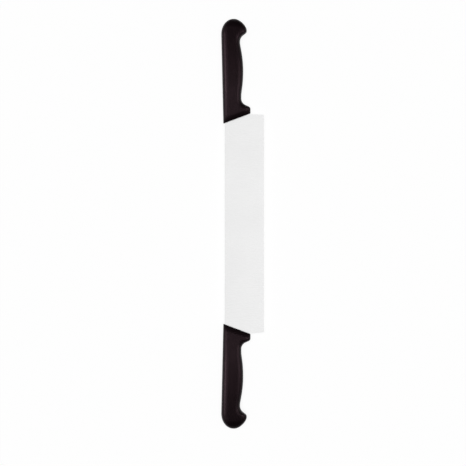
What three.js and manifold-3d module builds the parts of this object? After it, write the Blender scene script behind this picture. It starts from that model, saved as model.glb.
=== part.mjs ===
// Double-handled cheese knife: a straight steel blade pushed down through a cheese with both hands.
// One ground blade carries a tang at each end, and a moulded handle is locked onto each tang.
// Millimetres, +Z up. The knife lies on its side: X runs from the spine to the cutting edge,
// Y along the blade, Z through the thickness.
import * as THREE from "three";
import { mergeVertices } from "three/addons/utils/BufferGeometryUtils.js";
import Module from "manifold-3d";

const wasm = await Module();
wasm.setup();

// Whole knife
const OVERALL_LENGTH = 360; // butt to butt

// Blade: widths are measured from its spine
const BLADE_WIDTH = 34.4; // spine to cutting edge
const STOCK_THICKNESS = 2; // steel at the spine and in the tangs
const EDGE_THICKNESS = 0.5; // steel left where the edge bevel starts
const BEVEL_HEIGHT = 1.4; // edge bevel, up the side of the blade
const SPINE_CHAMFER = 0.25;
const HEEL_ANGLE = 3; // degrees that each end of the blade leans in towards the edge
const HEEL_RADIUS = 0.8;
const SEAL_STRIP = 0.6; // unground steel in front of each handle, where the mould closes on it

// Tangs, inside the handles
const TANG_INSET = 1.6; // step from the blade's spine to the tang's back
const TANG_ROOT_WIDTH = 9.4;
const TANG_TIP_WIDTH = 7;
const TANG_TIP_RADIUS = 2.5;
const TANG_ROOT_RADIUS = 2.5;
const SHOULDER_DEPTH = 5; // blade spine inside the mouth, up to the step
const SHOULDER_RADIUS = 0.5;
const STEP_RADIUS = 0.8;
const HOLE_DIAMETER = 4.4; // holes that the handle's plugs fill
const HOLE_COUNT = 2; // evenly along each tang
const SEAT_GAP = 0.3; // between the steel and the pocket moulded round it

// Handle outline: reaches are measured from the blade's spine, lengths along the knife
const HANDLE_LENGTH = 92; // butt to the back corner of the mouth
const SOLID_BUTT = 32; // plastic beyond the tang's tip
const BACK_PROUD_MOUTH = 1.3; // handle's back above the blade's spine at the mouth
const BACK_PROUD_BUTT = 3.1; // and where the butt starts to round over
const MOUTH_ANGLE = 20.4; // degrees that the mouth leans from square
const MOUTH_RADIUS = 0.5; // rounded edge of the mouth
const GUARD_REACH = 22.5;
const GUARD_LIP = 1.3; // plastic beyond the steel at the guard's tip
const GUARD_LENGTH = 5.5; // guard's tip, corner to corner
const GUARD_SLOPE = 24.5; // degrees that the guard's back leans from square
const GUARD_TIP_RADIUS = 2.5;
const GUARD_ROOT_RADIUS = 6.2;
const FRONT_WAIST_REACH = 14.4;
const FRONT_WAIST_LENGTH = 2.4;
const SWELL_REACH = 16.1;
const SWELL_FROM_BUTT = 46; // fullest point of the palm swell
const REAR_WAIST_REACH = 13.3;
const REAR_WAIST_LENGTH = 0.8;
const HOOK_REACH = 19.2;
const HOOK_FROM_BUTT = 10.2; // fullest point of the hook
const HOOK_LENGTH = 1.8; // hook's tip, corner to fullest point
const HOOK_SLOPE = 38.7; // degrees that the hook's underside leans from square
const HOOK_TIP_RADIUS = 2.8;
const HOOK_ROOT_RADIUS = 6.8;
const CROWN_REACH = 8.1; // furthest point of the butt
const BUTT_BACK_LENGTH = 13.6; // over which the back rounds into the butt

// How long each curve of the outline holds its direction, as a share of the curve's own length
const FRONT_WAIST_EASE = 0.18;
const SWELL_FRONT_EASE = 0.58;
const SWELL_REAR_EASE = 0.55;
const REAR_WAIST_EASE = 0.14;
const HOOK_EASE = 0.38;
const CROWN_EASE = 0.45;

// Handle section: a flat land on each side between two rounded shoulders
const PALM_THICKNESS = 12.4;
const MOUTH_THICKNESS = 9.8;
const PALM_LENGTH = 34; // over which the mouth thickens to the palm
const MOUTH_ROLL = 5; // over which each side rounds down to the mouth
const MOUTH_DROP = 1.5; // how far each side comes down there
const BACK_SHOULDER = 6;
const LAND_WIDTH = 5;
const BUTT_ROLL = 8; // length over which the two sides close at the butt

// Powers of the rounded forms: 2 is an ellipse, more is squarer
const BUTT_BACK_POWER = 2.1;
const SHOULDER_POWER = 2.2;
const FLARE_POWER = 0.6; // added where the belly's shoulder is twice as wide as the back's

// Facets
const FILLET_STEPS = 5;
const SWEEP_STEPS = 10;
const LINE_STEPS = 4;
const SHOULDER_STEPS = 7;
const ARC_STEPS = 8;

const { degToRad, lerp, clamp, smoothstep } = THREE.MathUtils;
const slope = (degrees) => Math.tan(degToRad(degrees));
const at = (x, y) => new THREE.Vector2(x, y);

// Where the ends of the handle lie along the knife, and the plane of its mouth
const buttY = OVERALL_LENGTH / 2;
const mouthBackY = buttY - HANDLE_LENGTH;
const mouthY = (x) => mouthBackY + (x + BACK_PROUD_MOUTH) * slope(MOUTH_ANGLE);
const alongMouth = (distance) => distance / Math.cos(degToRad(MOUTH_ANGLE));

// A closed mesh as a solid, and a solid as a mesh.
function solidOf(geometry) {
  const bare = geometry.clone();
  bare.deleteAttribute("normal");
  bare.deleteAttribute("uv");
  const merged = mergeVertices(bare);
  return new wasm.Manifold(
    new wasm.Mesh({
      numProp: 3,
      vertProperties: new Float32Array(merged.attributes.position.array),
      triVerts: new Uint32Array(merged.index.array),
    }),
  );
}

function geometryOf(solid) {
  const mesh = solid.getMesh();
  const geometry = new THREE.BufferGeometry();
  geometry.setAttribute("position", new THREE.BufferAttribute(mesh.vertProperties, 3));
  geometry.setIndex(new THREE.BufferAttribute(mesh.triVerts, 1));
  geometry.computeVertexNormals();
  return geometry;
}

// A flat shape as a plate, centred on its middle plane.
function plateSolid(shape, thickness) {
  const plate = new THREE.ExtrudeGeometry(shape, {
    depth: thickness,
    bevelEnabled: false,
    curveSegments: ARC_STEPS,
  });
  plate.translate(0, 0, -thickness / 2);
  return solidOf(plate);
}

// Runs a path on to a corner, rounds it and leaves it towards the next point.
// The round takes no more than what is left of the side behind and its share of the side ahead.
function roundCorner(path, corner, next, radius, shareAhead) {
  const behind = path.currentPoint.clone().sub(corner);
  const ahead = next.clone().sub(corner);
  const room = Math.min(behind.length(), ahead.length() * shareAhead);
  behind.normalize();
  ahead.normalize();
  const halfAngle = Math.acos(behind.dot(ahead)) / 2;
  const tangent = Math.min(radius / Math.tan(halfAngle), room);
  const fitted = tangent * Math.tan(halfAngle);
  const start = corner.clone().addScaledVector(behind, tangent);
  const end = corner.clone().addScaledVector(ahead, tangent);
  const inward = behind.clone().add(ahead).normalize();
  const centre = corner.clone().addScaledVector(inward, fitted / Math.sin(halfAngle));
  const from = start.clone().sub(centre);
  const to = end.clone().sub(centre);
  const clockwise = from.cross(to) < 0;
  path.lineTo(start.x, start.y);
  path.curves.push(
    new THREE.EllipseCurve(
      centre.x, centre.y, fitted, fitted, from.angle(), to.angle(), clockwise,
    ),
  );
  path.currentPoint.copy(end);
}

// A closed outline with rounded corners {point, radius}, counter-clockwise, grown all round.
function roundedOutline(corners, growth) {
  const count = corners.length;
  const pointAt = (i) => corners[(i + count) % count].point;
  const outwardAfter = (i) => {
    const along = pointAt(i + 1).clone().sub(pointAt(i)).normalize();
    return at(along.y, -along.x);
  };
  const grown = corners.map(({ point, radius }, i) => {
    const before = outwardAfter(i - 1);
    const after = outwardAfter(i);
    const offset = growth / (1 + before.dot(after));
    const turn = Math.sign(before.cross(after));
    return {
      point: point.clone().addScaledVector(before.add(after), offset),
      radius: radius + turn * growth,
    };
  });
  const shape = new THREE.Shape();
  const start = grown[count - 1].point.clone().lerp(grown[0].point, 0.5);
  shape.moveTo(start.x, start.y);
  grown.forEach(({ point, radius }, i) => {
    roundCorner(shape, point, grown[(i + 1) % count].point, radius, 0.5);
  });
  return shape;
}

// The steel seen from the side: the blade, and a tang with holes at each end.
function steelOutline(growth) {
  const heelX = GUARD_REACH - GUARD_LIP;
  const endY = (x) => mouthY(heelX) + (heelX - x) * slope(HEEL_ANGLE);
  const tangX = TANG_INSET + TANG_ROOT_WIDTH / 2;
  const rootX = TANG_INSET + TANG_ROOT_WIDTH;
  const tipY = buttY - SOLID_BUTT;
  const stepY = mouthY(0) + SHOULDER_DEPTH;
  const upperHalf = [
    { point: at(BLADE_WIDTH, endY(BLADE_WIDTH)), radius: HEEL_RADIUS },
    { point: at(rootX, endY(rootX)), radius: TANG_ROOT_RADIUS },
    { point: at(tangX + TANG_TIP_WIDTH / 2, tipY), radius: TANG_TIP_RADIUS },
    { point: at(tangX - TANG_TIP_WIDTH / 2, tipY), radius: TANG_TIP_RADIUS },
    { point: at(TANG_INSET, stepY), radius: STEP_RADIUS },
    { point: at(0, stepY), radius: SHOULDER_RADIUS },
  ];
  const lowerHalf = upperHalf.map(({ point, radius }) => ({ point: at(point.x, -point.y), radius }));
  const shape = roundedOutline([...upperHalf, ...lowerHalf.reverse()], growth);
  for (let i = 1; i <= HOLE_COUNT; i++) {
    const holeY = lerp(endY(rootX), tipY, i / (HOLE_COUNT + 1));
    for (const end of [1, -1]) {
      const hole = new THREE.Path();
      hole.absarc(tangX, end * holeY, HOLE_DIAMETER / 2 - growth, 0, 2 * Math.PI);
      shape.holes.push(hole);
    }
  }
  return shape;
}

// The ground blade's section: eased spine, long taper on both sides, edge bevel.
function groundSection(growth) {
  const spine = STOCK_THICKNESS / 2 + growth;
  const edge = EDGE_THICKNESS / 2 + growth;
  const bevelX = BLADE_WIDTH - BEVEL_HEIGHT;
  const shape = new THREE.Shape();
  shape.moveTo(-growth, SPINE_CHAMFER - spine);
  shape.lineTo(SPINE_CHAMFER - growth, -spine);
  shape.lineTo(bevelX, -edge);
  shape.lineTo(BLADE_WIDTH + growth, 0);
  shape.lineTo(bevelX, edge);
  shape.lineTo(SPINE_CHAMFER - growth, spine);
  shape.lineTo(-growth, spine - SPINE_CHAMFER);
  return shape;
}

// The stretch of the steel that is ground, up to the strip in front of each mouth.
function groundStretch(growth) {
  const lowX = -BLADE_WIDTH;
  const highX = 2 * BLADE_WIDTH;
  const endY = (x) => mouthY(x) - alongMouth(SEAL_STRIP + growth);
  const shape = new THREE.Shape();
  shape.moveTo(lowX, -endY(lowX));
  shape.lineTo(highX, -endY(highX));
  shape.lineTo(highX, endY(highX));
  shape.lineTo(lowX, endY(lowX));
  return shape;
}

// The steel: a plate of the outline, with its sides ground away between the handles.
function steelSolid(growth) {
  const thickness = STOCK_THICKNESS + 2 * growth;
  const bar = new THREE.ExtrudeGeometry(groundSection(growth), {
    depth: OVERALL_LENGTH,
    bevelEnabled: false,
  });
  bar.rotateX(Math.PI / 2);
  bar.translate(0, OVERALL_LENGTH / 2, 0);
  const groundAway = plateSolid(groundStretch(growth), 2 * thickness).subtract(solidOf(bar));
  return plateSolid(steelOutline(growth), thickness).subtract(groundAway);
}

// How far across the handle's back lies: a straight line that rounds over into the butt.
function backX(y) {
  const roundY = buttY - BUTT_BACK_LENGTH;
  const along = Math.min((y - mouthBackY) / (roundY - mouthBackY), 1);
  const straight = -lerp(BACK_PROUD_MOUTH, BACK_PROUD_BUTT, along);
  const round = clamp((y - roundY) / BUTT_BACK_LENGTH, 0, 1);
  const left = Math.pow(1 - Math.pow(round, BUTT_BACK_POWER), 1 / BUTT_BACK_POWER);
  return lerp(CROWN_REACH, straight, left);
}

// The points that the handle's belly passes through, from the guard to the hook.
const guardFront = at(GUARD_REACH, mouthY(GUARD_REACH) + alongMouth(MOUTH_RADIUS));
const guardRear = at(GUARD_REACH, mouthY(GUARD_REACH) + GUARD_LENGTH);
const guardRoot = at(
  FRONT_WAIST_REACH,
  guardRear.y + (GUARD_REACH - FRONT_WAIST_REACH) * slope(GUARD_SLOPE),
);
const guardRootRun = GUARD_ROOT_RADIUS * slope((90 - GUARD_SLOPE) / 2);
const frontWaist = at(FRONT_WAIST_REACH, guardRoot.y + guardRootRun + FRONT_WAIST_LENGTH);
const swell = at(SWELL_REACH, buttY - SWELL_FROM_BUTT);
const hookTop = at(HOOK_REACH, buttY - HOOK_FROM_BUTT);
const hookTip = at(HOOK_REACH, hookTop.y - HOOK_LENGTH);
const hookRoot = at(
  REAR_WAIST_REACH,
  hookTip.y - (HOOK_REACH - REAR_WAIST_REACH) * slope(HOOK_SLOPE),
);
const hookRootRun = HOOK_ROOT_RADIUS * slope((90 - HOOK_SLOPE) / 2);
const rearWaist = at(REAR_WAIST_REACH, hookRoot.y - hookRootRun - REAR_WAIST_LENGTH);
const crown = at(CROWN_REACH, buttY);

// A curve between two points that leaves and arrives along the knife.
function sweepTo(path, to, leaveEase, arriveEase) {
  const from = path.currentPoint.clone();
  const run = to.y - from.y;
  path.bezierCurveTo(from.x, from.y + run * leaveEase, to.x, to.y - run * arriveEase, to.x, to.y);
}

// The belly, from the guard's front corner round to the crown of the butt.
function bellyRail() {
  const rail = new THREE.Path();
  rail.moveTo(guardFront.x, guardFront.y);
  roundCorner(rail, guardRear, guardRoot, GUARD_TIP_RADIUS, 0.5);
  roundCorner(rail, guardRoot, frontWaist, GUARD_ROOT_RADIUS, 1);
  rail.lineTo(frontWaist.x, frontWaist.y);
  sweepTo(rail, swell, FRONT_WAIST_EASE, SWELL_FRONT_EASE);
  sweepTo(rail, rearWaist, SWELL_REAR_EASE, REAR_WAIST_EASE);
  roundCorner(rail, hookRoot, hookTip, HOOK_ROOT_RADIUS, 0.5);
  roundCorner(rail, hookTip, hookTop, HOOK_TIP_RADIUS, 1);
  rail.lineTo(hookTop.x, hookTop.y);
  rail.bezierCurveTo(
    HOOK_REACH, lerp(hookTop.y, buttY, HOOK_EASE),
    lerp(CROWN_REACH, HOOK_REACH, CROWN_EASE), buttY,
    crown.x, crown.y,
  );
  return rail;
}

// Points along the belly, closest together where it bends most.
function bellyPoints() {
  const points = [guardFront];
  for (const curve of bellyRail().curves) {
    let steps = SWEEP_STEPS;
    if (curve.isLineCurve) steps = LINE_STEPS;
    if (curve.isEllipseCurve) steps = FILLET_STEPS;
    for (let i = 1; i <= steps; i++) points.push(curve.getPoint(i / steps));
  }
  return points;
}

// The point of the back that faces a point of the belly.
// The line between them leans with the mouth at the guard and is square from the waist on.
function backFacing(belly) {
  const lean = 1 - smoothstep(belly.y, guardFront.y, frontWaist.y);
  const width = belly.x - backX(belly.y);
  const y = belly.y - lean * width * slope(MOUTH_ANGLE);
  return at(backX(y), y);
}

// Half the handle's thickness at the middle of a ring: rounded down at the mouth, full at the palm,
// closed at the butt.
function halfThicknessAt(middle) {
  const palm = smoothstep(middle.y, mouthBackY, mouthBackY + PALM_LENGTH);
  const full = lerp(MOUTH_THICKNESS, PALM_THICKNESS, palm) / 2;
  const buttRoll = clamp((middle.y - buttY + BUTT_ROLL) / BUTT_ROLL, 0, 1);
  const mouthRoll = clamp(1 - (middle.y - mouthY(middle.x)) / alongMouth(MOUTH_ROLL), 0, 1);
  return full * Math.sqrt(1 - buttRoll * buttRoll) - MOUTH_DROP * mouthRoll * mouthRoll;
}

// One ring round the handle between its back and its belly, drawn in by an inset all round.
function handleRing(back, belly, inset) {
  const width = back.distanceTo(belly);
  const halfThickness = halfThicknessAt(back.clone().lerp(belly, 0.5));
  const hookWidth = HOOK_REACH - backX(hookTop.y);
  const share = belly.y > hookTop.y ? width / hookWidth : 1;
  const backShoulder = BACK_SHOULDER * share;
  const bellyShoulder = width - backShoulder - LAND_WIDTH * share;
  const flare = Math.max(0, bellyShoulder / backShoulder - 1);
  const bellyPower = SHOULDER_POWER + FLARE_POWER * flare;
  const upperHalf = [];
  const place = (distance, height) => {
    const reach = lerp(inset, width - inset, distance / width);
    const point = back.clone().lerp(belly, reach / width);
    upperHalf.push(new THREE.Vector3(point.x, point.y, height * (halfThickness - inset)));
  };
  for (let i = 0; i <= SHOULDER_STEPS; i++) {
    const angle = (i / SHOULDER_STEPS) * (Math.PI / 2);
    const out = Math.pow(Math.cos(angle), 2 / SHOULDER_POWER);
    place(backShoulder * (1 - out), Math.pow(Math.sin(angle), 2 / SHOULDER_POWER));
  }
  for (let i = 0; i <= SHOULDER_STEPS; i++) {
    const angle = (i / SHOULDER_STEPS) * (Math.PI / 2);
    const out = Math.pow(Math.sin(angle), 2 / bellyPower);
    place(width - bellyShoulder * (1 - out), Math.pow(Math.cos(angle), 2 / bellyPower));
  }
  const lowerHalf = upperHalf.slice(1, -1).reverse();
  return [...upperHalf, ...lowerHalf.map((p) => new THREE.Vector3(p.x, p.y, -p.z))];
}

// A closed skin over rings that run from a flat first face to a single last point.
function skinOver(rings, lastPoint) {
  const size = rings[0].length;
  const firstCentre = new THREE.Vector3();
  rings[0].forEach((point) => firstCentre.addScaledVector(point, 1 / size));
  const points = [...rings.flat(), firstCentre, lastPoint];
  const centreIndex = points.length - 2;
  const lastIndex = points.length - 1;
  const lastRing = (rings.length - 1) * size;
  const faces = [];
  for (let i = 0; i < size; i++) {
    const next = (i + 1) % size;
    faces.push(centreIndex, next, i);
    for (let low = 0; low < lastRing; low += size) {
      const high = low + size;
      faces.push(low + i, low + next, high + i);
      faces.push(low + next, high + next, high + i);
    }
    faces.push(lastRing + i, lastRing + next, lastIndex);
  }
  const geometry = new THREE.BufferGeometry().setFromPoints(points);
  geometry.setIndex(faces);
  return geometry;
}

// The handle's outer form: rings from the rounded edge of the mouth to the crown of the butt.
function handleForm() {
  const rings = [];
  const mouthBack = backFacing(guardFront);
  for (let i = FILLET_STEPS; i > 0; i--) {
    const angle = (i / FILLET_STEPS) * (Math.PI / 2);
    const ahead = at(0, -alongMouth(MOUTH_RADIUS) * Math.sin(angle));
    const inset = MOUTH_RADIUS * (1 - Math.cos(angle));
    rings.push(handleRing(mouthBack.clone().add(ahead), guardFront.clone().add(ahead), inset));
  }
  for (const belly of bellyPoints().slice(0, -1)) rings.push(handleRing(backFacing(belly), belly, 0));
  return skinOver(rings, new THREE.Vector3(crown.x, crown.y, 0));
}

// The handle has a pocket that the tang fills, and plugs that pass through the tang's holes.
function handleGeometry() {
  return geometryOf(solidOf(handleForm()).subtract(steelSolid(SEAT_GAP)));
}

const steel = () => new THREE.MeshStandardMaterial({ color: 0xd6d8d9, roughness: 0.35, metalness: 1 });
const plastic = () => new THREE.MeshStandardMaterial({ color: 0x231b1d, roughness: 0.5, metalness: 0 });

function namedMesh(name, geometry, material) {
  const mesh = new THREE.Mesh(geometry, material);
  mesh.name = name;
  return mesh;
}

const knife = new THREE.Group();
knife.add(namedMesh("blade", geometryOf(steelSolid(0)), steel()));

// One moulding serves both ends: the left handle is the right one turned over about X.
const handle = handleGeometry();
const rightHandle = namedMesh("right_handle", handle, plastic());
const leftHandle = namedMesh("left_handle", handle, plastic());
leftHandle.rotation.x = Math.PI;
knife.add(rightHandle, leftHandle);

// The origin is under the middle of the knife, on the surface that it lies on.
const box = new THREE.Box3().setFromObject(knife);
const middle = box.getCenter(new THREE.Vector3());
knife.position.set(-middle.x, -middle.y, -box.min.z);

const part = new THREE.Group();
part.add(knife);

export default part;
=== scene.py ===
import math

import bmesh
import bpy
from mathutils import Matrix, Vector
from mathutils.geometry import interpolate_bezier


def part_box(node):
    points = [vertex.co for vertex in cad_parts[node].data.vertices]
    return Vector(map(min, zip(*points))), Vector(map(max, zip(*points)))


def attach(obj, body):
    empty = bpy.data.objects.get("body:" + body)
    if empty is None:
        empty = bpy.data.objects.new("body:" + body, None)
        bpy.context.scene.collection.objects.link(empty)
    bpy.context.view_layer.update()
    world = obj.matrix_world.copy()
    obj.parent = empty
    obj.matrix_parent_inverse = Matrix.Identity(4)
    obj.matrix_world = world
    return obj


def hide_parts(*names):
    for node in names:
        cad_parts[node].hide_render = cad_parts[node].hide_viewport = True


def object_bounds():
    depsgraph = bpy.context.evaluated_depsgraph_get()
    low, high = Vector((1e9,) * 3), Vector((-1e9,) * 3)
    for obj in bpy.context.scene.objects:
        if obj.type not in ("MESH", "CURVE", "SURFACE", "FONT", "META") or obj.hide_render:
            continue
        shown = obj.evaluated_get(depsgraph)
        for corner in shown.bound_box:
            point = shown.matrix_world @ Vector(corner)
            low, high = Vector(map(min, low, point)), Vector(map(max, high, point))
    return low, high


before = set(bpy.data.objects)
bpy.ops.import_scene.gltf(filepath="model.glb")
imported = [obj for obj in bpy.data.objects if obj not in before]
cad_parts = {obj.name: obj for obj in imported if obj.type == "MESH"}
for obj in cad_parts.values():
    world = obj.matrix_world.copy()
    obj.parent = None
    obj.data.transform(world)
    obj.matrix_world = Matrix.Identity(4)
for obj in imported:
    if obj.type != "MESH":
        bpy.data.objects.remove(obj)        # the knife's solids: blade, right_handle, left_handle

# Cheese knife for two hands: a broad ground blade with a black handle moulded on each end.
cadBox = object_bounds()
scene = bpy.context.scene
mm = 0.001
weld = 0.0005 * mm      # corners this close are one corner
print("frame loaded:", sorted(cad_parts))

# How the knife lies: x from the spine to the cutting edge, y along the blade, z through the thickness.
bladeLow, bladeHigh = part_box("blade")
handleLow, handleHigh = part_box("right_handle")
spineX = bladeLow.x
midZ = (bladeLow.z + bladeHigh.z) / 2
buttY = handleHigh.y / mm


# A point in millimetres from the spine, the middle and the middle plane, as a point of the frame.
def place(x, y, z):
    return Vector((spineX + x * mm, y * mm, midZ + z * mm))


def slope(degrees):
    return math.tan(math.radians(degrees))


def mix(low, high, share):
    return low + (high - low) * share


def clamp(share):
    return min(max(share, 0), 1)


def smooth(value, low, high):
    t = clamp((value - low) / (high - low))
    return t * t * (3 - 2 * t)


# An arc that rounds a corner between two straight sides, as points from one side to the other.
def roundCorner(behind, corner, ahead, radius, steps):
    back = (behind - corner).normalized()
    front = (ahead - corner).normalized()
    half = back.angle(front) / 2
    centre = corner + (back + front).normalized() * (radius / math.sin(half))
    start = corner + back * (radius / math.tan(half)) - centre
    end = corner + front * (radius / math.tan(half)) - centre
    turn = start.angle_signed(end)      # clockwise is positive for Blender's 2D vectors
    points = []
    for i in range(steps + 1):
        angle = -turn * i / steps
        c, s = math.cos(angle), math.sin(angle)
        points.append(centre + Vector((start.x * c - start.y * s, start.x * s + start.y * c)))
    return points


# A band of faces between two loops with as many corners.
def wall(bm, low, high):
    count = len(low)
    for i in range(count):
        k = (i + 1) % count
        bm.faces.new((low[i], low[k], high[k], high[i]))


def finishedMesh(bm, name):
    bmesh.ops.recalc_face_normals(bm, faces=bm.faces)
    mesh = bpy.data.meshes.new(name)
    bm.to_mesh(mesh)
    bm.free()
    return mesh


def newPiece(name, mesh):
    piece = bpy.data.objects.new(name, mesh)
    scene.collection.objects.link(piece)
    return piece


# Cuts one piece with another by a boolean and keeps only the result's mesh.
def cutAway(piece, cutter):
    modifier = piece.modifiers.new("cut", "BOOLEAN")
    modifier.object = cutter
    modifier.operation = "DIFFERENCE"
    modifier.solver = "EXACT"
    cut = bpy.data.meshes.new_from_object(piece.evaluated_get(bpy.context.evaluated_depsgraph_get()))
    piece.modifiers.clear()
    piece.data = cut


def dropPiece(piece):
    bpy.data.objects.remove(piece)


# Smooth skin with crisp edges wherever two faces meet at more than the angle.
def shadeSkin(piece, crispAngle):
    for face in piece.data.polygons:
        face.use_smooth = True
    piece.data.set_sharp_from_angle(angle=math.radians(crispAngle))


# Handle: millimetres and degrees. Reaches go from the blade's spine, lengths along the knife.
handle = {
    "length": 92.0,
    "backAtMouth": 1.3,         # back above the blade's spine
    "backAtButt": 3.1,
    "mouthAngle": 20.4,
    "mouthRadius": 0.5,
    "guardReach": (handleHigh.x - spineX) / mm,
    "guardLength": 5.5,
    "guardSlope": 24.5,
    "guardTipRadius": 2.5,
    "guardRootRadius": 6.2,
    "frontWaist": 14.4,
    "frontWaistLength": 2.4,
    "swell": 16.1,
    "swellFromButt": 46.0,
    "rearWaist": 13.3,
    "rearWaistLength": 0.8,
    "hookReach": 19.2,
    "hookFromButt": 10.2,
    "hookLength": 1.8,
    "hookSlope": 38.7,
    "hookTipRadius": 2.8,
    "hookRootRadius": 6.8,
    "crown": 8.1,               # reach at the very end of the butt
    "buttBackLength": 13.6,     # over which the back rounds into the butt
    "buttBackPower": 2.1,
    "eases": {"frontWaist": 0.18, "swellFront": 0.58, "swellRear": 0.55,
              "rearWaist": 0.14, "hook": 0.38, "crown": 0.45},
    "palm": (handleHigh.z - handleLow.z) / mm,
    "mouthThickness": 9.8,
    "palmLength": 34.0,         # from the mouth to the full thickness
    "mouthRoll": 5.0,           # over which each side rounds down to the mouth
    "mouthDrop": 1.5,
    "backShoulder": 6.0,
    "land": 5.0,                # flat down the middle of each side
    "buttRoll": 8.0,
    "shoulderPower": 2.2,       # 2 is an ellipse, more is squarer
    "flarePower": 0.6,          # squarer still where the belly reaches out
    "seamHeight": 0.05,         # moulding line round the middle plane
    "seatGap": 0.03,            # plastic shrunk tight onto the steel
    "rimRound": 0.14,           # rounded lip of the slot that the steel comes out of
    "rimSteps": 3,
    "rimSlack": 0.2,            # how far the lip's corners may lie off the steel and the mouth's plane
    "rimAngle": 40,             # corners sharper than this are rounded
    "crispAngle": 40,
    "steps": {"fillet": 9, "sweep": 34, "line": 8, "waist": 2, "crown": 40, "mouth": 6, "land": 4},
    "shoulderAngles": [0, 0.9, 2.2, 5, 9, 14, 20, 27, 34, 41, 48, 55, 62, 69, 75, 80, 84.5, 88, 90],
}

mouthBackY = buttY - handle["length"]


def mouthY(x):
    return mouthBackY + (x + handle["backAtMouth"]) * slope(handle["mouthAngle"])


# The handle's back: a straight line that rounds over into the butt.
def backX(y):
    h = handle
    roundY = buttY - h["buttBackLength"]
    straight = -mix(h["backAtMouth"], h["backAtButt"], min((y - mouthBackY) / (roundY - mouthBackY), 1))
    turn = clamp((y - roundY) / h["buttBackLength"])
    left = (1 - turn ** h["buttBackPower"]) ** (1 / h["buttBackPower"])
    return mix(h["crown"], straight, left)


def bellyCurve(start, end, leave, arrive, steps):
    run = end.y - start.y
    ahead = Vector((start.x, start.y + run * leave))
    before = Vector((end.x, end.y - run * arrive))
    return interpolate_bezier(start, ahead, before, end, steps + 1)[1:]


def straightRun(start, end, steps):
    return [start.lerp(end, i / steps) for i in range(1, steps + 1)]


# The belly: guard, front waist, palm swell, rear waist, hook and crown, as points close together.
def bellyPoints():
    h, steps, ease = handle, handle["steps"], handle["eases"]
    bevelY = h["mouthRadius"] / math.cos(math.radians(h["mouthAngle"]))
    guardFront = Vector((h["guardReach"], mouthY(h["guardReach"]) + bevelY))
    guardRear = Vector((h["guardReach"], mouthY(h["guardReach"]) + h["guardLength"]))
    guardFall = (h["guardReach"] - h["frontWaist"]) * slope(h["guardSlope"])
    guardRoot = Vector((h["frontWaist"], guardRear.y + guardFall))
    rootRun = h["guardRootRadius"] * slope((90 - h["guardSlope"]) / 2)
    waist = Vector((h["frontWaist"], guardRoot.y + rootRun + h["frontWaistLength"]))
    swell = Vector((h["swell"], buttY - h["swellFromButt"]))
    hookTop = Vector((h["hookReach"], buttY - h["hookFromButt"]))
    hookTip = Vector((h["hookReach"], hookTop.y - h["hookLength"]))
    hookFall = (h["hookReach"] - h["rearWaist"]) * slope(h["hookSlope"])
    hookRoot = Vector((h["rearWaist"], hookTip.y - hookFall))
    hookRun = h["hookRootRadius"] * slope((90 - h["hookSlope"]) / 2)
    rearWaist = Vector((h["rearWaist"], hookRoot.y - hookRun - h["rearWaistLength"]))
    crown = Vector((h["crown"], buttY))

    guardTip = roundCorner(guardFront, guardRear, guardRoot, h["guardTipRadius"], steps["fillet"])
    guardFoot = roundCorner(guardRear, guardRoot, waist, h["guardRootRadius"], steps["fillet"])
    hookFoot = roundCorner(rearWaist, hookRoot, hookTip, h["hookRootRadius"], steps["fillet"])
    hookEnd = roundCorner(hookRoot, hookTip, hookTop, h["hookTipRadius"], steps["fillet"])

    points = [guardFront]
    points += straightRun(guardFront, guardTip[0], steps["line"])
    points += guardTip[1:]
    points += straightRun(guardTip[-1], guardFoot[0], steps["line"])
    points += guardFoot[1:]
    points += straightRun(guardFoot[-1], waist, steps["waist"])
    points += bellyCurve(waist, swell, ease["frontWaist"], ease["swellFront"], steps["sweep"])
    points += bellyCurve(swell, rearWaist, ease["swellRear"], ease["rearWaist"], steps["sweep"])
    points += straightRun(rearWaist, hookFoot[0], steps["waist"])
    points += hookFoot[1:]
    points += straightRun(hookFoot[-1], hookEnd[0], steps["line"])
    points += hookEnd[1:]
    points.append(hookTop)
    overHook = Vector((h["hookReach"], mix(hookTop.y, buttY, ease["hook"])))
    beforeCrown = Vector((mix(h["crown"], h["hookReach"], ease["crown"]), buttY))
    points += interpolate_bezier(hookTop, overHook, beforeCrown, crown, steps["crown"] + 1)[1:]
    return points, waist.y, hookTop.y


# Half the thickness at the middle of a ring: rounded down at the mouth, full at the palm,
# closed at the butt.
def halfThickness(middle):
    h = handle
    palm = smooth(middle.y, mouthBackY, mouthBackY + h["palmLength"])
    full = mix(h["mouthThickness"], h["palm"], palm) / 2
    buttRoll = clamp((middle.y - buttY + h["buttRoll"]) / h["buttRoll"])
    fromMouth = (middle.y - mouthY(middle.x)) * math.cos(math.radians(h["mouthAngle"]))
    mouthRoll = clamp(1 - fromMouth / h["mouthRoll"])
    return full * math.sqrt(1 - buttRoll ** 2) - h["mouthDrop"] * mouthRoll ** 2


# One shoulder of the section, from the seam to the land: distance inwards and share of the height.
def shoulder(width, power, seam):
    steps = []
    for degrees in handle["shoulderAngles"]:
        c, s = math.cos(math.radians(degrees)), math.sin(math.radians(degrees))
        inward = width * (1 - max(c, 0) ** (2 / power))
        steps.append((inward - (seam if degrees == 0 else 0), s ** (2 / power)))
    return steps


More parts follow.
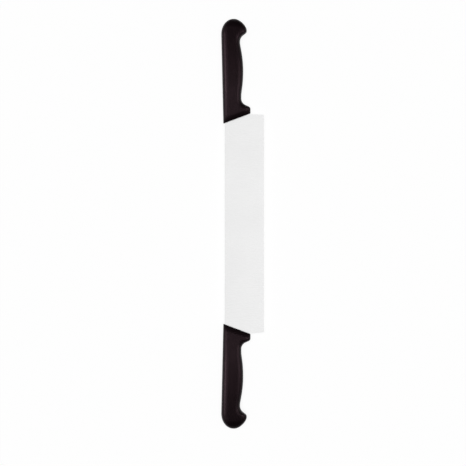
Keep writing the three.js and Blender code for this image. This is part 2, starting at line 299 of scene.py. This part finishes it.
# One ring round the handle, from the back over the top side to the belly and round underneath.
def handleRing(back, belly, inset, hookY):
    h = handle
    width = (belly - back).length
    height = halfThickness(back.lerp(belly, 0.5))
    share = width / (h["hookReach"] - backX(hookY)) if belly.y > hookY else 1
    backShoulder = h["backShoulder"] * share
    land = h["land"] * share
    bellyShoulder = width - backShoulder - land
    bellyPower = h["shoulderPower"] + h["flarePower"] * max(0, bellyShoulder / backShoulder - 1)
    seam = h["seamHeight"] * min(1, height / (h["palm"] / 2))
    landSteps = h["steps"]["land"]
    section = shoulder(backShoulder, h["shoulderPower"], seam)
    section += [(backShoulder + land * i / landSteps, 1) for i in range(1, landSteps)]
    bellySide = shoulder(bellyShoulder, bellyPower, seam)
    section += [(width - inward, rise) for inward, rise in reversed(bellySide)]
    ring = []
    for distance, rise in section:
        reach = mix(inset, width - inset, distance / width)
        point = back.lerp(belly, reach / width)
        ring.append((point.x, point.y, rise * (height - inset)))
    return ring + [(x, y, -z) for x, y, z in reversed(ring[1:-1])]


# Closed skin of the handle: mouth face, rings over the guard, palm and hook, one point at the crown.
def handleSkin():
    h = handle
    belly, waistY, hookY = bellyPoints()

    def facing(point):      # the back's point on the same ring, leaning with the mouth near the guard
        lean = 1 - smooth(point.y, belly[0].y, waistY)
        y = point.y - lean * (point.x - backX(point.y)) * slope(h["mouthAngle"])
        return Vector((backX(y), y))

    rings = []
    mouthSteps = h["steps"]["mouth"]
    for i in range(mouthSteps, 0, -1):
        angle = math.radians(90 * i / mouthSteps)
        ahead = Vector((0, -h["mouthRadius"] / math.cos(math.radians(h["mouthAngle"])) * math.sin(angle)))
        inset = h["mouthRadius"] * (1 - math.cos(angle))
        rings.append(handleRing(facing(belly[0]) + ahead, belly[0] + ahead, inset, hookY))
    for point in belly[:-1]:
        rings.append(handleRing(facing(point), point, 0, hookY))

    bm = bmesh.new()
    loops = [[bm.verts.new(place(*point)) for point in ring] for ring in rings]
    crown = bm.verts.new(place(belly[-1].x, belly[-1].y, 0))
    bm.faces.new(reversed(loops[0]))
    for low, high in zip(loops, loops[1:]):
        wall(bm, low, high)
    last = loops[-1]
    for i in range(len(last)):
        bm.faces.new((last[i], last[(i + 1) % len(last)], crown))
    return finishedMesh(bm, "handleSkin")


# Blade: millimetres and degrees, with widths from the spine
blade = {
    "width": (bladeHigh.x - bladeLow.x) / mm,
    "stock": (bladeHigh.z - bladeLow.z) / mm,
    "edgeThickness": 0.5,
    "bevelHeight": 1.4,
    "edgeEase": 0.22,           # stamped edges are tumbled round
    "easeSteps": 4,
    "heelAngle": 3.0,
    "heelX": 21.2,              # where the end of the blade goes into the guard
    "heelRadius": 0.8,
    "runIn": 1.2,               # the grind goes on this far inside the handle
    "wheelRoom": 4.0,           # the grinding wheel reaches this far past the steel
    "tangInset": 1.6,
    "tangRoot": 9.4,
    "tangTip": 7.0,
    "tangRadius": 2.5,
    "tangTipY": bladeHigh.y / mm,
    "shoulderDepth": 5.0,
    "shoulderRadius": 0.5,
    "stepRadius": 0.8,
    "hole": 4.4,
    "holes": 2,
    "arcSteps": 8,
    "holeSteps": 32,
    "flatAngle": 0.2,           # faces that meet flatter than this become one
    "crispAngle": 12,
}


def circlePoints(middleX, middleY, radius, steps):
    points = []
    for i in range(steps):
        angle = 2 * math.pi * i / steps
        points.append(Vector((middleX + radius * math.cos(angle), middleY + radius * math.sin(angle))))
    return points


# The steel's outline seen from the side, counter-clockwise, and its holes, all grown by the same amount.
def steelOutline(growth):
    b = blade

    def endY(x):
        return mouthY(b["heelX"]) + (b["heelX"] - x) * slope(b["heelAngle"])

    rootX = b["tangInset"] + b["tangRoot"]
    tangX = b["tangInset"] + b["tangRoot"] / 2
    stepY = mouthY(0) + b["shoulderDepth"]
    upper = [
        (b["width"], endY(b["width"]), b["heelRadius"]),
        (rootX, endY(rootX), b["tangRadius"]),
        (tangX + b["tangTip"] / 2, b["tangTipY"], b["tangRadius"]),
        (tangX - b["tangTip"] / 2, b["tangTipY"], b["tangRadius"]),
        (b["tangInset"], stepY, b["stepRadius"]),
        (0, stepY, b["shoulderRadius"]),
    ]
    corners = upper + [(x, -y, radius) for x, y, radius in reversed(upper)]
    points = [Vector((x, y)) for x, y, radius in corners]
    count = len(points)
    outward = []
    for i in range(count):
        along = (points[(i + 1) % count] - points[i]).normalized()
        outward.append(Vector((along.y, -along.x)))
    grown, radii = [], []
    for i in range(count):
        before, after = outward[i - 1], outward[i]
        grown.append(points[i] + (before + after) * (growth / (1 + before.dot(after))))
        turn = before.x * after.y - before.y * after.x
        radii.append(corners[i][2] + math.copysign(growth, turn))
    outline = []
    for i in range(count):
        outline += roundCorner(grown[i - 1], grown[i], grown[(i + 1) % count], radii[i], b["arcSteps"])
    holes = []
    for i in range(1, b["holes"] + 1):
        holeY = mix(endY(rootX), b["tangTipY"], i / (b["holes"] + 1))
        for end in (1, -1):
            holes.append(circlePoints(tangX, end * holeY, b["hole"] / 2 - growth, b["holeSteps"]))
    return outline, holes


# The stamped blank: the outline as a plate with eased edges, tangs and holes included.
def steelBlank(growth):
    b = blade
    half = b["stock"] / 2 + growth
    levels = []
    for i in range(b["easeSteps"] + 1):
        angle = math.radians(90 * i / b["easeSteps"])
        levels.append((b["edgeEase"] * (1 - math.cos(angle)), half - b["edgeEase"] * (1 - math.sin(angle))))
    levels = [(inset, -z) for inset, z in reversed(levels)] + levels
    bm = bmesh.new()
    stacks = []
    for inset, z in levels:
        outline, holes = steelOutline(growth - inset)
        stacks.append([[bm.verts.new(place(p.x, p.y, z)) for p in loop] for loop in [outline] + holes])
    for low, high in zip(stacks, stacks[1:]):
        for lowLoop, highLoop in zip(low, high):
            wall(bm, lowLoop, highLoop)
    for stack in (stacks[0], stacks[-1]):
        rim = []
        for loop in stack:
            for i in range(len(loop)):
                rim.append(bm.edges.get((loop[i - 1], loop[i])))
        bmesh.ops.triangle_fill(bm, use_beauty=True, edges=rim)
    return finishedMesh(bm, "steelBlank")


# The wheel's path over one side of the blade: all that is ground off, long taper and edge bevel.
def grindCutter(side, growth):
    b = blade
    bevelX = b["width"] - b["bevelHeight"]
    spineHalf = b["stock"] / 2 + growth
    edgeHalf = b["edgeThickness"] / 2 + growth
    taper = (spineHalf - edgeHalf) / (bevelX - b["edgeEase"])
    fall = b["edgeThickness"] / 2 / b["bevelHeight"]
    before, beyond, above = -b["wheelRoom"], b["width"] + b["wheelRoom"], b["stock"] + b["wheelRoom"]
    profile = [
        (before, spineHalf + taper * (b["edgeEase"] - before)),
        (bevelX, edgeHalf),
        (beyond, edgeHalf - fall * (beyond - bevelX)),
        (beyond, above),
        (before, above),
    ]
    bm = bmesh.new()
    ends = []
    for end in (-1, 1):
        ring = []
        for x, z in profile:
            ring.append(bm.verts.new(place(x, end * (mouthY(x) + b["runIn"]), side * z)))
        ends.append(ring)
        bm.faces.new(ring)
    wall(bm, ends[0], ends[1])
    return finishedMesh(bm, "grindCutter")


def steelPiece(name, growth):
    piece = newPiece(name, steelBlank(growth))
    for side in (1, -1):
        wheel = newPiece("wheel", grindCutter(side, growth))
        cutAway(piece, wheel)
        dropPiece(wheel)
    bm = bmesh.new()
    bm.from_mesh(piece.data)
    bmesh.ops.remove_doubles(bm, verts=bm.verts, dist=weld)
    flat = math.radians(blade["flatAngle"])
    bmesh.ops.dissolve_limit(bm, angle_limit=flat, verts=bm.verts, edges=bm.edges)
    bm.to_mesh(piece.data)
    bm.free()
    return piece


bladePiece = steelPiece("ground_blade", 0)
shadeSkin(bladePiece, blade["crispAngle"])
print("blade ground:", len(bladePiece.data.polygons), "faces")


# Handles: the skin with a slot and pocket that the steel fills, and a rounded lip where it comes out.
def handlePiece(name, turned, tang):
    h = handle
    piece = newPiece(name, handleSkin())
    cutAway(piece, tang)
    bm = bmesh.new()
    bm.from_mesh(piece.data)
    bmesh.ops.remove_doubles(bm, verts=bm.verts, dist=weld)

    def onMouth(vert):      # on the flat of the mouth and beside the steel
        x, y, z = (vert.co.x - spineX) / mm, vert.co.y / mm, (vert.co.z - midZ) / mm
        besideSteel = -h["rimSlack"] < x < blade["heelX"] + h["rimSlack"]
        besideSteel = besideSteel and abs(z) < blade["stock"] / 2 + h["rimSlack"]
        return besideSteel and abs(y - mouthY(x)) < h["rimSlack"]

    sharp = math.radians(h["rimAngle"])
    lip = [e for e in bm.edges if all(onMouth(v) for v in e.verts) and e.calc_face_angle(0) > sharp]
    bmesh.ops.bevel(bm, geom=lip, offset=h["rimRound"] * mm, segments=h["rimSteps"], profile=0.5,
                    affect="EDGES", clamp_overlap=True)
    if turned:      # half a turn about a line across the knife takes it to the other end
        turn = Matrix.Translation((0, 0, midZ)) @ Matrix.Rotation(math.pi, 4, "X")
        bmesh.ops.transform(bm, matrix=turn @ Matrix.Translation((0, 0, -midZ)), verts=bm.verts)
    bm.to_mesh(piece.data)
    bm.free()
    shadeSkin(piece, h["crispAngle"])
    print(name, "moulded:", len(piece.data.polygons), "faces,", len(lip), "lip edges")
    return piece


tightSteel = steelPiece("tight_steel", handle["seatGap"])
rightPiece = handlePiece("moulded_right_handle", False, tightSteel)
leftPiece = handlePiece("moulded_left_handle", True, tightSteel)
dropPiece(tightSteel)


# Node helpers: one call adds a node with its settings and the numbers on its sockets.
def addNode(tree, kind, settings=None, inputs=None):
    node = tree.nodes.new(kind)
    for key, value in (settings or {}).items():
        setattr(node, key, value)
    for key, value in (inputs or {}).items():
        node.inputs[key].default_value = value
    return node


def blankMaterial(name):
    material = bpy.data.materials.new(name)
    material.use_nodes = True
    tree = material.node_tree
    tree.nodes.clear()
    output = addNode(tree, "ShaderNodeOutputMaterial")
    shader = addNode(tree, "ShaderNodeBsdfPrincipled")
    tree.links.new(shader.outputs["BSDF"], output.inputs["Surface"])
    return material, tree, shader


# A noise in the frame's own space: size is the grain in mm along x, y and z.
def grain(tree, size, detail, roughness=0.5):
    coords = addNode(tree, "ShaderNodeTexCoord")
    mapping = addNode(tree, "ShaderNodeMapping", inputs={"Scale": [1 / (s * mm) for s in size]})
    noise = addNode(tree, "ShaderNodeTexNoise", inputs={
        "Scale": 1.0, "Detail": detail, "Roughness": roughness})
    tree.links.new(coords.outputs["Object"], mapping.inputs["Vector"])
    tree.links.new(mapping.outputs["Vector"], noise.inputs["Vector"])
    return noise.outputs["Fac"]


# The middle of a noise, where nearly all of it lies, spread out from low to high.
def spread(tree, source, low, high, fromLow=0.35, fromHigh=0.65):
    ranged = addNode(tree, "ShaderNodeMapRange", inputs={
        "From Min": fromLow, "From Max": fromHigh, "To Min": low, "To Max": high})
    tree.links.new(source, ranged.inputs["Value"])
    return ranged.outputs["Result"]


def blendColour(tree, factor, first, second):
    mixer = addNode(tree, "ShaderNodeMix", {"data_type": "RGBA"}, {"A": (*first, 1), "B": (*second, 1)})
    tree.links.new(factor, mixer.inputs["Factor"])
    return mixer.outputs["Result"]


def blendLines(tree, factor, first, second):
    mixer = addNode(tree, "ShaderNodeMix", {"data_type": "FLOAT"})
    tree.links.new(factor, mixer.inputs["Factor"])
    tree.links.new(first, mixer.inputs["A"])
    tree.links.new(second, mixer.inputs["B"])
    return mixer.outputs["Result"]


# What both finishes have: clouds in the colour, and a grain in the gloss and the relief.
def dressShader(tree, shader, finish, relief):
    clouds = grain(tree, [finish["cloudSize"]] * 3, finish["cloudDetail"])
    colour = blendColour(tree, spread(tree, clouds, 0, 1), finish["colour"], finish["paler"])
    rough = spread(tree, relief, finish["roughLow"], finish["roughHigh"])
    bump = addNode(tree, "ShaderNodeBump", inputs={
        "Strength": finish["reliefStrength"], "Distance": finish["reliefDepth"] * mm})
    tree.links.new(colour, shader.inputs["Base Color"])
    tree.links.new(rough, shader.inputs["Roughness"])
    tree.links.new(relief, bump.inputs["Height"])
    tree.links.new(bump.outputs["Normal"], shader.inputs["Normal"])


plastic = {
    "colour": (0.0032, 0.0018, 0.0022),
    "paler": (0.0044, 0.0024, 0.0030),
    "cloudSize": 14.0,
    "cloudDetail": 3,
    "specular": 0.122,
    "sheen": (1.0, 0.65, 0.77),     # warm tint of the gloss
    "roughLow": 0.36,
    "roughHigh": 0.43,
    "sparkSize": 0.32,          # mm, spark-eroded grain of the mould
    "sparkDetail": 2,
    "sparkRoughness": 0.6,
    "reliefDepth": 0.03,
    "reliefStrength": 0.5,
}


def mouldedPlastic():
    p = plastic
    material, tree, shader = blankMaterial("moulded warm black")
    spark = grain(tree, [p["sparkSize"]] * 3, p["sparkDetail"], p["sparkRoughness"])
    dressShader(tree, shader, p, spark)
    shader.inputs["Specular IOR Level"].default_value = p["specular"]
    shader.inputs["Specular Tint"].default_value = (*p["sheen"], 1)
    return material


steel = {
    "colour": (0.848, 0.848, 0.848),
    "paler": (0.868, 0.868, 0.868),
    "cloudSize": 30.0,
    "cloudDetail": 2,
    "roughLow": 0.265,
    "roughHigh": 0.30,
    "lineWidth": 0.14,          # mm, satin lines from the spine to the edge
    "honeWidth": 0.07,          # finer lines along the edge bevel
    "lineLength": 110.0,
    "lineDetail": 2,
    "lineRoughness": 0.6,
    "reliefDepth": 0.003,
    "reliefStrength": 0.4,
}


# One on the edge bevel and nought on the rest of the blade.
def edgeBevel(tree):
    coords = addNode(tree, "ShaderNodeTexCoord")
    split = addNode(tree, "ShaderNodeSeparateXYZ")
    bevelX = spineX + (blade["width"] - blade["bevelHeight"]) * mm
    beyond = addNode(tree, "ShaderNodeMath", {"operation": "GREATER_THAN"}, {1: bevelX})
    tree.links.new(coords.outputs["Object"], split.inputs["Vector"])
    tree.links.new(split.outputs["X"], beyond.inputs[0])
    return beyond.outputs["Value"]


def groundSteel():
    s = steel
    material, tree, shader = blankMaterial("satin ground steel")
    satinSize = [s["lineLength"], s["lineWidth"], s["lineLength"]]
    honedSize = [s["honeWidth"], s["lineLength"], s["honeWidth"]]
    satin = grain(tree, satinSize, s["lineDetail"], s["lineRoughness"])
    honed = grain(tree, honedSize, s["lineDetail"], s["lineRoughness"])
    dressShader(tree, shader, s, blendLines(tree, edgeBevel(tree), satin, honed))
    shader.inputs["Metallic"].default_value = 1.0
    return material


def dress(piece, material):
    piece.data.materials.clear()
    piece.data.materials.append(material)


blackPlastic = mouldedPlastic()
dress(bladePiece, groundSteel())
dress(rightPiece, blackPlastic)
dress(leftPiece, blackPlastic)

for piece, node in ((bladePiece, "blade"), (rightPiece, "right_handle"), (leftPiece, "left_handle")):
    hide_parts(node)
    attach(piece, "root")
print("finishes on")


# Camera: straight above, at the photograph's scale, with the knife where it lies in the frame
camera = {
    "pixels": 466,
    "middle": (242.66, 223.75),     # the knife's middle, in pixels from the top left corner
    "length": 409.7,                # butt to butt, in pixels
    "lens": 120.0,
    "sensor": 36.0,
}


def photoCamera():
    c = camera
    pixel = (cadBox[1].y - cadBox[0].y) / c["length"]
    data = bpy.data.cameras.new("camera")
    data.lens = c["lens"]
    data.sensor_width = c["sensor"]
    distance = c["pixels"] * pixel * c["lens"] / c["sensor"]
    across = (c["pixels"] / 2 - c["middle"][0]) * pixel
    up = (c["middle"][1] - c["pixels"] / 2) * pixel
    shot = bpy.data.objects.new("camera", data)
    shot.location = (across, up, midZ + distance)
    scene.collection.objects.link(shot)
    scene.camera = shot


photoCamera()
print("camera set")


# Studio: metres and watts
studio = {
    "floorRadius": 20.0,
    "floorSides": 96,
    "floorColour": (0.98, 0.98, 0.98),
    "floorRough": 0.9,
    "floorGlow": 0.88,          # share of plain white that the floor shows, the rest is lit and shadowed
    "floorSun": {"strength": 2.6, "spread": 50.0},      # from straight above, on the floor alone
    "sky": [(0.0, 0.85), (0.2, 0.65), (0.55, 0.70), (0.85, 0.30), (1.0, 0.15)],     # level by height
    "flags": {"from": 0.08, "to": 0.30, "level": 0.06},     # dark cards beyond both ends of the knife
    "handleLamps": {        # for the right handle: the left one's are mirrored
        "back": {"at": (-0.230, 0.142, 0.139), "aim": (-0.016, 0.142, 0.010),
                 "size": (0.06, 0.078), "power": 0.35},
        "wash": {"at": (-0.141, 0.140, 0.226), "aim": (-0.016, 0.140, 0.010),
                 "size": (0.08, 0.125), "power": 0.11},
        "belly": {"at": (0.186, 0.118, 0.177), "aim": (0.0, 0.118, 0.010),
                  "size": (0.08, 0.155), "power": 0.262},
        "top": {"at": (-0.010, 0.110, 0.210), "aim": (-0.010, 0.110, 0.010),
                "size": (0.17, 0.05), "power": 0.10},
    },
    "bladeLamps": {
        "top": {"at": (0.0, 0.0, 1.5), "aim": (0, 0, 0), "size": (2.4, 1.4), "power": 9.24},
        "near": {"at": (0.0, -1.0, 0.62), "aim": (0, 0, 0), "size": (3.0, 1.8), "power": 8.0},
        "far": {"at": (0.0, 1.0, 0.62), "aim": (0, 0, 0), "size": (3.0, 1.8), "power": 8.0},
    },
}


# White floor: partly plain white where it is seen or mirrored, so that its shadow stays faint.
def whiteSweep():
    material, tree, shader = blankMaterial("white sweep")
    shader.inputs["Base Color"].default_value = (*studio["floorColour"], 1)
    shader.inputs["Roughness"].default_value = studio["floorRough"]
    shader.inputs["Specular IOR Level"].default_value = 0.0
    white = addNode(tree, "ShaderNodeEmission", inputs={"Color": (1, 1, 1, 1), "Strength": 1.0})
    path = addNode(tree, "ShaderNodeLightPath")
    seen = path.outputs["Is Camera Ray"]
    for kind in ("Is Glossy Ray", "Is Transmission Ray"):
        either = addNode(tree, "ShaderNodeMath", {"operation": "MAXIMUM"})
        tree.links.new(seen, either.inputs[0])
        tree.links.new(path.outputs[kind], either.inputs[1])
        seen = either.outputs["Value"]
    share = addNode(tree, "ShaderNodeMath", {"operation": "MULTIPLY"}, {1: studio["floorGlow"]})
    both = addNode(tree, "ShaderNodeMixShader")
    tree.links.new(seen, share.inputs[0])
    tree.links.new(share.outputs["Value"], both.inputs["Fac"])
    tree.links.new(shader.outputs["BSDF"], both.inputs[1])
    tree.links.new(white.outputs["Emission"], both.inputs[2])
    tree.links.new(both.outputs["Shader"], tree.nodes["Material Output"].inputs["Surface"])
    return material


def studioFloor():
    bm = bmesh.new()
    bmesh.ops.create_circle(bm, cap_ends=True, segments=studio["floorSides"], radius=studio["floorRadius"])
    floor = newPiece("floor", finishedMesh(bm, "floor"))
    dress(floor, whiteSweep())
    return floor


# A light that falls on one piece only, as if the others were flagged off.
def ownLight(name, kind, piece):
    lamp = bpy.data.objects.new(name, bpy.data.lights.new(name, kind))
    lit = bpy.data.collections.get("lit " + piece.name)
    if lit is None:
        lit = bpy.data.collections.new("lit " + piece.name)
        lit.objects.link(piece)
    lamp.light_linking.receiver_collection = lit
    scene.collection.objects.link(lamp)
    return lamp


def floorSun(floor):
    sun = ownLight("floor sun", "SUN", floor)
    sun.data.energy = studio["floorSun"]["strength"]
    sun.data.angle = math.radians(studio["floorSun"]["spread"])


def pieceLamps(lamps, piece, end):
    mirror = Vector((1, end, 1))
    for name, settings in lamps.items():
        lamp = ownLight(piece.name + " " + name, "AREA", piece)
        lamp.data.shape = "RECTANGLE"
        lamp.data.size, lamp.data.size_y = settings["size"]
        lamp.data.energy = settings["power"]
        lampAt = Vector(settings["at"]) * mirror
        lampAim = Vector(settings["aim"]) * mirror
        lamp.location = lampAt
        lamp.rotation_euler = (lampAim - lampAt).to_track_quat("-Z", "Y").to_euler()
        lamp.visible_camera = False


# Grey sky, darker overhead, with dark flags beyond both ends of the knife.
def studioSky():
    world = bpy.data.worlds.new("studio")
    world.use_nodes = True
    scene.world = world
    tree = world.node_tree
    tree.nodes.clear()
    output = addNode(tree, "ShaderNodeOutputWorld")
    background = addNode(tree, "ShaderNodeBackground")
    coords = addNode(tree, "ShaderNodeTexCoord")
    split = addNode(tree, "ShaderNodeSeparateXYZ")
    ramp = addNode(tree, "ShaderNodeValToRGB")
    stops = studio["sky"]
    elements = ramp.color_ramp.elements
    while len(elements) < len(stops):
        elements.new(0.5)       # gets its height below
    for element, (height, level) in zip(elements, stops):
        element.position = height
        element.color = (level, level, level, 1)
    flags = studio["flags"]
    towardsEnd = addNode(tree, "ShaderNodeMath", {"operation": "ABSOLUTE"})
    flagged = addNode(tree, "ShaderNodeMapRange", inputs={
        "From Min": flags["from"], "From Max": flags["to"], "To Min": 1.0, "To Max": flags["level"]})
    tree.links.new(coords.outputs["Generated"], split.inputs["Vector"])
    tree.links.new(split.outputs["Z"], ramp.inputs["Fac"])
    tree.links.new(split.outputs["Y"], towardsEnd.inputs[0])
    tree.links.new(towardsEnd.outputs["Value"], flagged.inputs["Value"])
    tree.links.new(ramp.outputs["Color"], background.inputs["Color"])
    tree.links.new(flagged.outputs["Result"], background.inputs["Strength"])
    tree.links.new(background.outputs["Background"], output.inputs["Surface"])


floorSun(studioFloor())
pieceLamps(studio["handleLamps"], rightPiece, 1)
pieceLamps(studio["handleLamps"], leftPiece, -1)
pieceLamps(studio["bladeLamps"], bladePiece, 1)
studioSky()
scene.view_settings.view_transform = "Standard"
print("studio lit")
